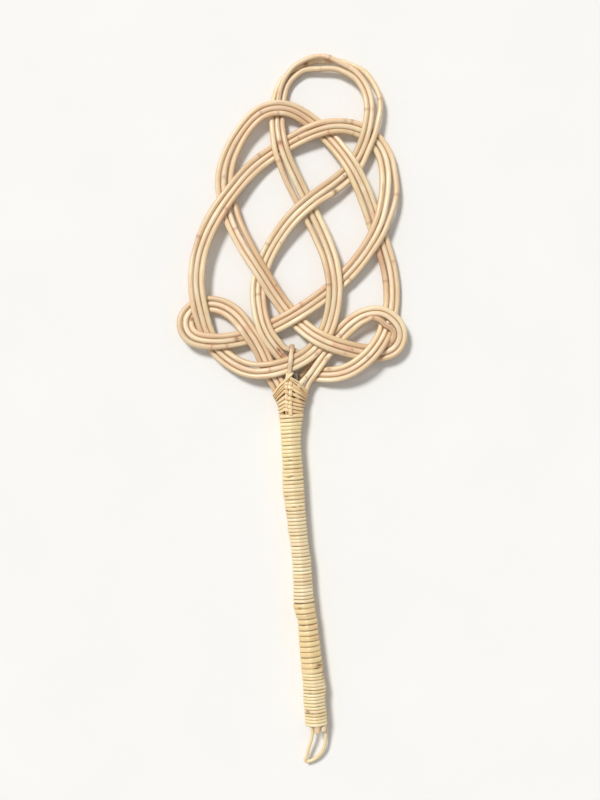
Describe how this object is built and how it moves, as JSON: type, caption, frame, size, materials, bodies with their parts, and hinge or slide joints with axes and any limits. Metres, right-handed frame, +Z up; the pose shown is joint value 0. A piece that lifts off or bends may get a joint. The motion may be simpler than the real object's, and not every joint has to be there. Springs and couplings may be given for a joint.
{
  "type": "carpet beater",
  "caption": "Carpet beater with a flat head woven from a band of rattan canes, a handle of the same canes bound with strip, and a hanging loop at its end.",
  "frame": {"origin": "middle of the bounding box in plan, on the floor that the beater lies on", "axes": "+Y from the handle to the head, +X across the head to the right seen from above, +Z up from the floor"},
  "size_m": [0.2316, 0.7152, 0.0236],
  "materials": {
    "left_outer_cane": "natural rattan skin, satin",
    "left_middle_cane": "natural rattan skin, satin",
    "left_inner_cane": "natural rattan skin, satin",
    "right_outer_cane": "natural rattan skin, satin",
    "right_middle_cane": "natural rattan skin, satin",
    "right_inner_cane": "natural rattan skin, satin",
    "core_stick": "bare grey pith, matt",
    "throat_lashing": "split rattan strip, satin",
    "tie_strap": "split rattan strip, satin",
    "upper_binding": "split rattan strip, satin",
    "splice_binding": "split rattan strip, satin",
    "waist_binding": "split rattan strip, satin",
    "grip_binding": "split rattan strip, worn satin",
    "butt_binding": "split rattan strip, satin",
    "hanging_loop": "thin rattan, satin"
  },
  "bodies": {
    "root": {"left_outer_cane": "left_outer_cane", "left_middle_cane": "left_middle_cane", "left_inner_cane": "left_inner_cane", "right_outer_cane": "right_outer_cane", "right_middle_cane": "right_middle_cane", "right_inner_cane": "right_inner_cane", "core_stick": "core_stick", "throat_lashing": "throat_lashing", "tie_strap": "tie_strap", "upper_binding": "upper_binding", "splice_binding": "splice_binding", "waist_binding": "waist_binding", "grip_binding": "grip_binding", "butt_binding": "butt_binding", "hanging_loop": "hanging_loop"}
  },
  "joints": []
}
